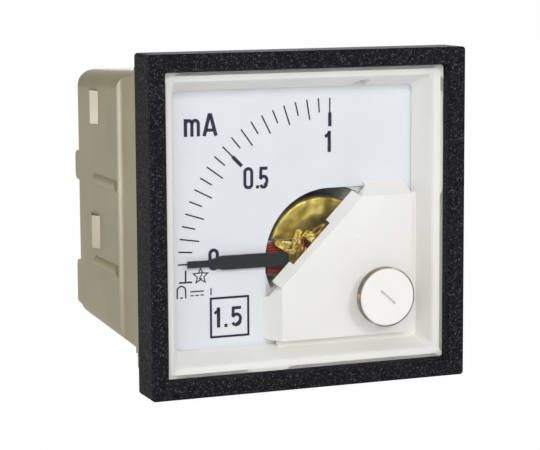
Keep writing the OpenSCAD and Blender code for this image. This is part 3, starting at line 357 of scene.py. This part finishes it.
# Enamelled copper wire, wound: dark red and glossy, with turns 0.12 mm apart along the band that are
# drawn 0.4 mm apart. The grooves between the turns are painted darker, as painted shade.
wire = finish("enamelled copper wire, wound")
place = add(wire, "ShaderNodeTexCoord")
mm = add(wire, "ShaderNodeVectorMath", {0: place.outputs["Object"], 1: (1000, 1000, 1000)},
         operation="MULTIPLY")
turns_and_groove_shade = add(wire, "ShaderNodeTexWave", {"Vector": mm.outputs[0], "Scale": 0.8, "Distortion": 0.6,
                                        "Detail": 1}, wave_type="BANDS", bands_direction="Z")
# painted shade: the grooves between the turns are darker than their crests
tint = add(wire, "ShaderNodeValToRGB", {"Fac": turns_and_groove_shade.outputs["Fac"]},
           stops=[(0.2, "#6a1206"), (0.8, "#b83a12")])
wound = add(wire, "ShaderNodeBump", {"Height": turns_and_groove_shade.outputs["Fac"], "Distance": 0.04 * MM})
shader = add(wire, "ShaderNodeBsdfPrincipled",
             {"Base Color": tint.outputs["Color"], "Metallic": 0.5, "Roughness": 0.3,
              "Normal": wound.outputs["Normal"]})
add(wire, "ShaderNodeOutputMaterial", {"Surface": shader.outputs[0]})
dress(["moving_coil"], wire)

# Aluminium strip, rolled: a cool light grey, with rolling marks drawn 0.2 mm wide.
dress(["coil_former"], bright_metal("rolled aluminium strip", "#b4bcc4", "#8f979f", 0.35, 0.2))
# Phosphor bronze strip, rolled hard: a reddish metal, bright.
dress(["front_hairspring", "rear_hairspring"],
      bright_metal("phosphor bronze strip", "#c98a4a", "#96592a", 0.25, 0.15, 0.8))

# Matt black lacquer on thin aluminium: nearly black, with a soft sheen and clouds 0.3 mm wide.
lacquer = finish("matt black lacquer")
place = add(lacquer, "ShaderNodeTexCoord")
mm = add(lacquer, "ShaderNodeVectorMath", {0: place.outputs["Object"], 1: (1000, 1000, 1000)},
         operation="MULTIPLY")
cloud = add(lacquer, "ShaderNodeTexNoise", {"Vector": mm.outputs[0], "Scale": 1 / 0.3, "Detail": 3})
tint = add(lacquer, "ShaderNodeValToRGB", {"Fac": cloud.outputs["Fac"]},
           stops=[(0.3, "#0e1016"), (0.7, "#15181f")])
shader = add(lacquer, "ShaderNodeBsdfPrincipled",
             {"Base Color": tint.outputs["Color"], "Roughness": 0.6, "IOR": 1.4})
add(lacquer, "ShaderNodeOutputMaterial", {"Surface": shader.outputs[0]})
dress(["pointer"], lacquer)


# ---- Dial ----------------------------------------------------------------------------------------
# A thin plate in cool white enamel behind the pointer, with its scale and signs screen-printed in
# blue-black ink. The print is generic: the unit, three numbers, and such an instrument's usual signs.

# White stoving enamel: smooth, cool and nearly matt, with clouds 6 mm wide that barely show.
enamel = finish("white stoving enamel")
place = add(enamel, "ShaderNodeTexCoord")
mm = add(enamel, "ShaderNodeVectorMath", {0: place.outputs["Object"], 1: (1000, 1000, 1000)},
         operation="MULTIPLY")
cloud = add(enamel, "ShaderNodeTexNoise", {"Vector": mm.outputs[0], "Scale": 1 / 6, "Detail": 2})
tint = add(enamel, "ShaderNodeValToRGB", {"Fac": cloud.outputs["Fac"]},
           stops=[(0.3, "#dfe3e7"), (0.7, "#e2e6ea")])
shader = add(enamel, "ShaderNodeBsdfPrincipled",
             {"Base Color": tint.outputs["Color"], "Roughness": 0.55, "IOR": 1.5})
add(enamel, "ShaderNodeOutputMaterial", {"Surface": shader.outputs[0]})
dress(["dial_plate"], enamel)

# Blue-black printing ink: flat, with a grain of 0.15 mm.
ink = finish("blue-black printing ink")
place = add(ink, "ShaderNodeTexCoord")
mm = add(ink, "ShaderNodeVectorMath", {0: place.outputs["Object"], 1: (1000, 1000, 1000)},
         operation="MULTIPLY")
grain = add(ink, "ShaderNodeTexNoise", {"Vector": mm.outputs[0], "Scale": 1 / 0.15, "Detail": 2})
tint = add(ink, "ShaderNodeValToRGB", {"Fac": grain.outputs["Fac"]},
           stops=[(0.3, "#0f1030"), (0.7, "#17183a")])
shader = add(ink, "ShaderNodeBsdfPrincipled",
             {"Base Color": tint.outputs["Color"], "Roughness": 0.6, "IOR": 1.45})
add(ink, "ShaderNodeOutputMaterial", {"Surface": shader.outputs[0]})

ink_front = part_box("scale_marks")[0].y
ink_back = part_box("scale_marks")[1].y


def arc(x, y, rx, ry, a0, a1, steps=12):
    """Points of an ellipse's arc, from one angle to another in degrees."""
    turn = [math.radians(a0 + (a1 - a0) * i / steps) for i in range(steps + 1)]
    return [(x + rx * math.cos(t), y + ry * math.sin(t)) for t in turn]


def stroke(mesh, points, width, closed=False):
    """A flat printed stroke of one width along points on the dial, in millimetres."""
    count = len(points)
    sides = []
    for i in range(count):
        before = Vector(points[i - 1] if closed or i else points[0])
        here = Vector(points[i])
        after = Vector(points[(i + 1) % count] if closed or i < count - 1 else points[-1])
        way_in = (here - before).normalized() if (here - before).length else (after - here).normalized()
        way_out = (after - here).normalized() if (after - here).length else way_in
        middle = (way_in + way_out).normalized()
        across = Vector((-middle.y, middle.x)) * (width / 2 / max(0.4, middle.dot(way_in)))
        sides.append([mesh.verts.new((p.x * MM, y, p.y * MM))
                      for p in (here + across, here - across) for y in (ink_front, ink_back)])
    last = count if closed else count - 1
    for i in range(last):
        a, b = sides[i], sides[(i + 1) % count]
        mesh.faces.new([a[0], a[2], b[2], b[0]])
        mesh.faces.new([a[1], b[1], b[3], a[3]])
        mesh.faces.new([a[0], b[0], b[1], a[1]])
        mesh.faces.new([a[2], a[3], b[3], b[2]])
    if not closed:
        a, b = sides[0], sides[-1]
        mesh.faces.new([a[0], a[1], a[3], a[2]])
        mesh.faces.new([b[0], b[2], b[3], b[1]])


def oval(x, y, w, h):
    """The line of a numeral 0: two straight sides with round ends."""
    r = w / 2
    return (arc(x, y + h / 2 - r, r, r, 0, 180) + arc(x, y - h / 2 + r, r, r, 180, 360))


# the scale: twenty divisions over a quarter turn, whose main marks have thick feet, on an arc that
# falls 0.5 mm inside the true circle towards full scale
hub_low, hub_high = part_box("pivot_hub")
pivot_x, pivot_z = (hub_low.x + hub_high.x) / 2 / MM, (hub_low.z + hub_high.z) / 2 / MM
divisions = 20
half_scale = 10
mark_r = 23.35
arc_fall = 0.5
main_thin, main_whole, long_mark, short_mark = 2.1, 4.1, 2.95, 2.05
scale_mesh = bmesh.new()
for i in range(divisions + 1):
    turn = math.radians(180 - 4.5 * i)
    outer = mark_r - arc_fall * max(0, i / half_scale - 1) ** 1.5
    middle = outer - (main_thin if i % half_scale == 0 else long_mark if i % 2 == 0 else short_mark)
    foot = outer - main_whole
    ends = [(pivot_x + r * math.cos(turn), pivot_z + r * math.sin(turn)) for r in (outer, middle, foot)]
    stroke(scale_mesh, ends[:2], 0.2)
    if i % half_scale == 0:
        stroke(scale_mesh, ends[1:], 0.52)
made = piece("scale_marks_printed", scale_mesh, ink, "housing", smooth=False)
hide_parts("scale_marks")

# the lettering and signs, in millimetres to the right of the frame's middle and above it
print_mesh = bmesh.new()
# the unit: a small m and a capital A on one line
stroke(print_mesh, [(-16.42, 12.0), (-16.42, 14.5)], 0.5)
stroke(print_mesh, [(-16.42, 13.86)] + arc(-15.92, 13.8, 0.46, 0.46, 150, 0, 8) + [(-15.46, 12.0)], 0.48)
stroke(print_mesh, [(-15.46, 13.8)] + arc(-14.96, 13.8, 0.46, 0.46, 150, 0, 8) + [(-14.5, 12.0)], 0.48)
stroke(print_mesh, [(-13.65, 12.0), (-12.86, 14.95), (-12.66, 14.95), (-11.87, 12.0)], 0.52)
stroke(print_mesh, [(-13.3, 12.82), (-12.2, 12.82)], 0.46)
# the numbers at half scale, full scale and the start
stroke(print_mesh, oval(-7.04, 5.73, 1.05, 2.72), 0.46, closed=True)
stroke(print_mesh, [(-5.87, 4.42), (-5.42, 4.42)], 0.46)
stroke(print_mesh, [(-4.1, 7.05), (-5.1, 7.05), (-5.16, 5.75)] + arc(-4.69, 5.28, 0.5, 0.62, 140, -60, 12)
       + arc(-4.73, 4.85, 0.46, 0.5, -30, -160, 8), 0.46)
stroke(print_mesh, [(5.5, 8.95), (5.5, 12.0)], 0.52)
stroke(print_mesh, [(5.6, 11.75), (4.85, 11.15)], 0.44)
stroke(print_mesh, oval(-12.4, -5.63, 1.12, 2.68), 0.48, closed=True)
# the signs: upright mounting, test voltage in a star, moving coil, direct current, and the class
stroke(print_mesh, [(-17.62, -8.68), (-15.7, -8.68)], 0.24)
stroke(print_mesh, [(-16.65, -8.6), (-16.65, -6.95)], 0.24)
star = [(-14.4 + r * math.sin(math.radians(36 * i)), -7.86 + r * math.cos(math.radians(36 * i)))
        for i, r in enumerate([1.15, 0.52] * 5)]
stroke(print_mesh, star, 0.16, closed=True)
stroke(print_mesh, arc(-14.4, -7.6, 0.2, 0.2, 160, -30, 8) + [(-14.6, -8.25), (-14.18, -8.25)], 0.14)
stroke(print_mesh, [(-17.95, -10.95)] + arc(-17.3, -9.8, 0.62, 0.62, 180, 0, 14) + [(-16.65, -10.95)], 0.2)
stroke(print_mesh, [(-17.5, -10.85), (-17.1, -10.85)], 0.2)
stroke(print_mesh, [(-15.95, -10.05), (-13.95, -10.05)], 0.18)
for x in (-15.95, -15.2, -14.45):
    stroke(print_mesh, [(x, -10.62), (x + 0.5, -10.62)], 0.16)
stroke(print_mesh, [(-12.85, -10.75), (-12.85, -9.7)], 0.18)
stroke(print_mesh, [(-12.9, -16.85), (-7.2, -16.85), (-7.2, -11.25), (-12.9, -11.25)], 0.32, closed=True)
stroke(print_mesh, [(-11.75, -15.5), (-11.75, -12.6)], 0.5)
stroke(print_mesh, [(-11.6, -12.85), (-12.35, -13.45)], 0.4)
stroke(print_mesh, [(-10.85, -15.28), (-10.4, -15.28)], 0.46)
stroke(print_mesh, [(-8.3, -12.82), (-9.5, -12.82), (-9.55, -13.9)]
       + arc(-9.0, -14.4, 0.6, 0.66, 140, -60, 12)
       + arc(-9.05, -14.75, 0.58, 0.55, -30, -160, 8), 0.44)
piece("dial_lettering", print_mesh, ink, "housing", smooth=False)


# ---- Front moulding and cover --------------------------------------------------------------------
# The tray round the dial and the cover over the movement are one moulding in off-white ABS, from a
# mould with a fine satin finish. It drops into the front frame, and the zero adjuster snaps into it.

# Off-white ABS from a satin mould: soft highlights, clouds 7 mm wide that barely show, and a mould grain
# of 0.05 mm that is drawn 0.15 mm wide.
offwhite_abs = finish("off-white ABS, satin mould")
place = add(offwhite_abs, "ShaderNodeTexCoord")
mm = add(offwhite_abs, "ShaderNodeVectorMath", {0: place.outputs["Object"], 1: (1000, 1000, 1000)},
         operation="MULTIPLY")
cloud = add(offwhite_abs, "ShaderNodeTexNoise", {"Vector": mm.outputs[0], "Scale": 1 / 7, "Detail": 2})
tint = add(offwhite_abs, "ShaderNodeValToRGB", {"Fac": cloud.outputs["Fac"]},
           stops=[(0.3, "#edece7"), (0.7, "#f0efeb")])
grain = add(offwhite_abs, "ShaderNodeTexNoise", {"Vector": mm.outputs[0], "Scale": 1 / 0.15, "Detail": 1})
satin = add(offwhite_abs, "ShaderNodeBump", {"Height": grain.outputs["Fac"], "Distance": 0.002 * MM})
shader = add(offwhite_abs, "ShaderNodeBsdfPrincipled",
             {"Base Color": tint.outputs["Color"], "Roughness": 0.4, "IOR": 1.53,
              "Normal": satin.outputs["Normal"]})
add(offwhite_abs, "ShaderNodeOutputMaterial", {"Surface": shader.outputs[0]})
dress(["front_mask", "zero_adjuster"], offwhite_abs)


# ---- Window --------------------------------------------------------------------------------------
# A flat pane of clear polystyrene with a hole for the adjuster, cemented on the tray's rim. Its faces are
# polished. The hole's wall is rough from the tool; its brown is painted shade and painted refraction.

# Clear polystyrene: nearly invisible, with a very thin veil.
polystyrene = finish("clear polystyrene, polished")
place = add(polystyrene, "ShaderNodeTexCoord")
mm = add(polystyrene, "ShaderNodeVectorMath", {0: place.outputs["Object"], 1: (1000, 1000, 1000)},
         operation="MULTIPLY")
veil = add(polystyrene, "ShaderNodeTexNoise", {"Vector": mm.outputs[0], "Scale": 1 / 12, "Detail": 2})
tint = add(polystyrene, "ShaderNodeValToRGB", {"Fac": veil.outputs["Fac"]},
           stops=[(0.3, "#a9b0b4"), (0.7, "#b9c0c4")])
shader = add(polystyrene, "ShaderNodeBsdfPrincipled",
             {"Base Color": tint.outputs["Color"], "Roughness": 0.05, "IOR": 1.59, "Alpha": 0.015})
add(polystyrene, "ShaderNodeOutputMaterial", {"Surface": shader.outputs[0]})

# The same, sawn or drilled, for the hole's wall: a smoky brown with streaks 1 mm long, which is painted
# shade and a painted refraction of the movement behind it.
bore_painted_shade = finish("clear polystyrene, drilled, painted shade")
place = add(bore_painted_shade, "ShaderNodeTexCoord")
mm = add(bore_painted_shade, "ShaderNodeVectorMath", {0: place.outputs["Object"], 1: (1000, 1000, 1000)},
         operation="MULTIPLY")
streak = add(bore_painted_shade, "ShaderNodeTexNoise", {"Vector": mm.outputs[0], "Scale": 1.0, "Detail": 3})
# painted shade and painted refraction, in streaks from dark brown to tan
tint = add(bore_painted_shade, "ShaderNodeValToRGB", {"Fac": streak.outputs["Fac"]},
           stops=[(0.35, "#3a3530"), (0.55, "#7a6248"), (0.7, "#b39d74")])
shader = add(bore_painted_shade, "ShaderNodeBsdfPrincipled",
             {"Base Color": tint.outputs["Color"], "Roughness": 0.3, "IOR": 1.59})
add(bore_painted_shade, "ShaderNodeOutputMaterial", {"Surface": shader.outputs[0]})

low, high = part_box("window")
button_low, button_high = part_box("zero_adjuster")
button_x, button_z = (button_low.x + button_high.x) / 2 / MM, (button_low.z + button_high.z) / 2 / MM
bore_r = 4.28
bore_wall = 0.03
mesh = bmesh.new()
loops = []
for y in (low.y, high.y):
    outer, inner = [], []
    for i in range(96):
        across, up = math.cos(2 * math.pi * (i + 0.5) / 96), math.sin(2 * math.pi * (i + 0.5) / 96)
        r = min(((high.x if across > 0 else low.x) / MM - button_x) / across,
                ((high.z if up > 0 else low.z) / MM - button_z) / up)
        outer.append(mesh.verts.new(((button_x + r * across) * MM, y, (button_z + r * up) * MM)))
        inner.append(mesh.verts.new(((button_x + bore_r * across) * MM, y, (button_z + bore_r * up) * MM)))
    loops.append((outer, inner))
band(mesh, loops[0][0], loops[0][1])
band(mesh, loops[1][1], loops[1][0])
band(mesh, loops[1][0], loops[0][0])
made = piece("window_pane", mesh, polystyrene, "housing")
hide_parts("window")

# a thin ring over the hole's wall, coloured with the painted shade and refraction
mesh = bmesh.new()
rings = [[mesh.verts.new(((button_x + r * math.cos(2 * math.pi * i / 96)) * MM, y,
                          (button_z + r * math.sin(2 * math.pi * i / 96)) * MM)) for i in range(96)]
         for r, y in ((bore_r, low.y), (bore_r, high.y), (bore_r + bore_wall, high.y),
                      (bore_r + bore_wall, low.y))]
for first, second in zip(rings, rings[1:] + rings[:1]):
    band(mesh, first, second)
bmesh.ops.recalc_face_normals(mesh, faces=mesh.faces)
piece("window_bore", mesh, bore_painted_shade, "housing")


# ---- Front frame ---------------------------------------------------------------------------------
# The square frame that covers the panel's cut-out, one moulding in black ABS. Its mould was
# spark-eroded, so it is matt, and it sparkles a little with painted glints.

# Black ABS, spark-eroded: nearly black and matt, whose pits are 0.1 mm wide and are drawn as grains
# 0.15 mm wide. The grains differ in tone at random, and the few lightest are painted glints.
black_abs = finish("black ABS, spark-eroded mould, painted glints")
place = add(black_abs, "ShaderNodeTexCoord")
mm = add(black_abs, "ShaderNodeVectorMath", {0: place.outputs["Object"], 1: (1000, 1000, 1000)},
         operation="MULTIPLY")
grains = add(black_abs, "ShaderNodeTexVoronoi", {"Vector": mm.outputs[0], "Scale": 1 / 0.15})
painted_glint_cells = add(black_abs, "ShaderNodeSeparateColor", {0: grains.outputs["Color"]})
# random tones per grain; the few lightest grains are painted glints
tint = add(black_abs, "ShaderNodeValToRGB", {"Fac": painted_glint_cells.outputs["Red"]},
           stops=[(0.0, "#141415"), (0.55, "#1b1b1d"), (0.8, "#28282b"), (0.93, "#38383c"),
                  (1.0, "#55575d")])
eroded = add(black_abs, "ShaderNodeBump", {"Height": grains.outputs["Distance"], "Distance": 0.03 * MM})
shader = add(black_abs, "ShaderNodeBsdfPrincipled",
             {"Base Color": tint.outputs["Color"], "Roughness": 0.6, "IOR": 1.5, "Specular IOR Level": 0.03,
              "Normal": eroded.outputs["Normal"]})
add(black_abs, "ShaderNodeOutputMaterial", {"Surface": shader.outputs[0]})
dress(["bezel"], black_abs)


# ---- Studio --------------------------------------------------------------------------------------
# A plain pale floor under the front frame's lower edge and a white sweep behind, a soft key light nearly
# in front, a fill and a strip light on the left, a light behind, and a camera with a long lens, high and
# to the left.

floor_half = 3
floor_gap = 0.2 * MM
floor_mesh = bmesh.new()
floor_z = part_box("bezel")[0].z - floor_gap
for x, y in ((-floor_half, -floor_half), (floor_half, -floor_half), (floor_half, floor_half),
             (-floor_half, floor_half)):
    floor_mesh.verts.new((x, y, floor_z))
floor_mesh.faces.new(floor_mesh.verts)
floor_data = bpy.data.meshes.new("floor")
floor_mesh.to_mesh(floor_data)
floor_mesh.free()
floor = bpy.data.objects.new("floor", floor_data)
bpy.context.scene.collection.objects.link(floor)

# Matt white paper: the camera and reflections see it as white, by this share. At 0.985 the object's
# shadow is too faint to see, and a lower share brings it back.
white_share = 0.985
paper = finish("matt white paper")
rays = add(paper, "ShaderNodeLightPath")
mirrored = add(paper, "ShaderNodeMath",
               {0: rays.outputs["Is Glossy Ray"], 1: rays.outputs["Is Transmission Ray"]}, operation="ADD")
seen = add(paper, "ShaderNodeMath", {0: rays.outputs["Is Camera Ray"], 1: mirrored.outputs[0]},
           operation="ADD", use_clamp=True)
share = add(paper, "ShaderNodeMath", {0: seen.outputs[0], 1: white_share}, operation="MULTIPLY")
matt = add(paper, "ShaderNodeBsdfDiffuse", {"Color": linear("#f6f6f6")})
white = add(paper, "ShaderNodeEmission", {"Color": (1, 1, 1, 1), "Strength": 1.0})
mixed = add(paper, "ShaderNodeMixShader", {0: share.outputs[0], 1: matt.outputs[0], 2: white.outputs[0]})
add(paper, "ShaderNodeOutputMaterial", {"Surface": mixed.outputs[0]})
floor_data.materials.append(paper)

# The room: white where the camera looks, and in reflections a white sweep behind the object in a dim
# room. Its own soft light comes more from the front than from behind.
room = bpy.data.worlds.new("studio")
bpy.context.scene.world = room
room.use_nodes = True
room.node_tree.nodes.clear()
rays = add(room, "ShaderNodeLightPath")
mirrored = add(room, "ShaderNodeMath",
               {0: rays.outputs["Is Glossy Ray"], 1: rays.outputs["Is Transmission Ray"]},
               operation="ADD", use_clamp=True)
direction = add(room, "ShaderNodeTexCoord")
behind = add(room, "ShaderNodeVectorMath", {0: direction.outputs["Generated"], 1: (0.37, 0.93, 0.0)},
             operation="DOT_PRODUCT")
sweep = add(room, "ShaderNodeMapRange",
            {"Value": behind.outputs["Value"], "From Min": 0.82, "From Max": 0.95,
             "To Min": 0.2, "To Max": 1})
in_mirror = add(room, "ShaderNodeMath", {0: mirrored.outputs[0], 1: sweep.outputs[0]}, operation="MULTIPLY")
seen = add(room, "ShaderNodeMath", {0: rays.outputs["Is Camera Ray"], 1: in_mirror.outputs[0]},
           operation="ADD")
known = add(room, "ShaderNodeMath", {0: rays.outputs["Is Camera Ray"], 1: mirrored.outputs[0]},
            operation="ADD", use_clamp=True)
others = add(room, "ShaderNodeMath", {0: 1.0, 1: known.outputs[0]}, operation="SUBTRACT")
axes = add(room, "ShaderNodeSeparateXYZ", {0: direction.outputs["Generated"]})
light = add(room, "ShaderNodeMapRange",
            {"Value": axes.outputs["Y"], "From Min": -0.3, "From Max": 0.5, "To Min": 0.57, "To Max": 0.3})
soft = add(room, "ShaderNodeMath", {0: others.outputs[0], 1: light.outputs[0]}, operation="MULTIPLY")
strength = add(room, "ShaderNodeMath", {0: seen.outputs[0], 1: soft.outputs[0]}, operation="ADD")
sky = add(room, "ShaderNodeBackground", {"Color": (1, 1, 1, 1), "Strength": strength.outputs[0]})
add(room, "ShaderNodeOutputWorld", {"Surface": sky.outputs[0]})


def lamp(name, place, aim, width, height, power, colour):
    """A soft light at a place, turned towards a point, upright."""
    data = bpy.data.lights.new(name, "AREA")
    data.shape = "RECTANGLE"
    data.size = width
    data.size_y = height
    data.energy = power
    data.color = linear(colour)[:3]
    made = bpy.data.objects.new(name, data)
    made.location = place
    made.rotation_euler = (Vector(aim) - Vector(place)).to_track_quat("-Z", "Y").to_euler()
    bpy.context.scene.collection.objects.link(made)
    return made


lamp("key", (0.16, -0.86, 0.42), (0, 0, 0), 0.22, 0.22, 2.3, "#ffffff")
lamp("fill", (-0.36, -0.58, 0.2), (0, 0, 0), 0.4, 0.4, 1.45, "#ffffff")
# a light behind the object on the right, for its back, its top and that side
lamp("back", (0.35, 0.75, 0.4), (0, 0, 0), 0.4, 0.4, 3.2, "#ffffff")
# the strip light shows only as a long reflection on the left side, and the camera doesn't see it
strip = lamp("strip", (-0.15, 0.036, -0.002), (-0.0225, 0.015, -0.002), 0.07, 0.04, 0.37, "#fffdf8")
strip.visible_diffuse = False
strip.visible_camera = False

camera_data = bpy.data.cameras.new("camera")
camera_data.sensor_fit = "HORIZONTAL"
camera_data.sensor_width = 36
camera_data.lens = 135.13
camera_data.clip_start = 0.01
camera = bpy.data.objects.new("camera", camera_data)
bpy.context.scene.collection.objects.link(camera)
camera_place = (-0.10983, -0.26674, 0.03883)
yaw, pitch, roll = math.radians(21.635), math.radians(-7.916), math.radians(-0.34)
forward = Vector((math.sin(yaw) * math.cos(pitch), math.cos(yaw) * math.cos(pitch), math.sin(pitch)))
level = forward.cross(Vector((0, 0, 1))).normalized()
upright = level.cross(forward)
right = math.cos(roll) * level + math.sin(roll) * upright
up = math.cos(roll) * upright - math.sin(roll) * level
camera.matrix_world = Matrix.Translation(camera_place) @ Matrix(
    (right, up, -forward)).transposed().to_4x4()
bpy.context.scene.camera = camera
bpy.context.scene.view_settings.view_transform = "Standard"
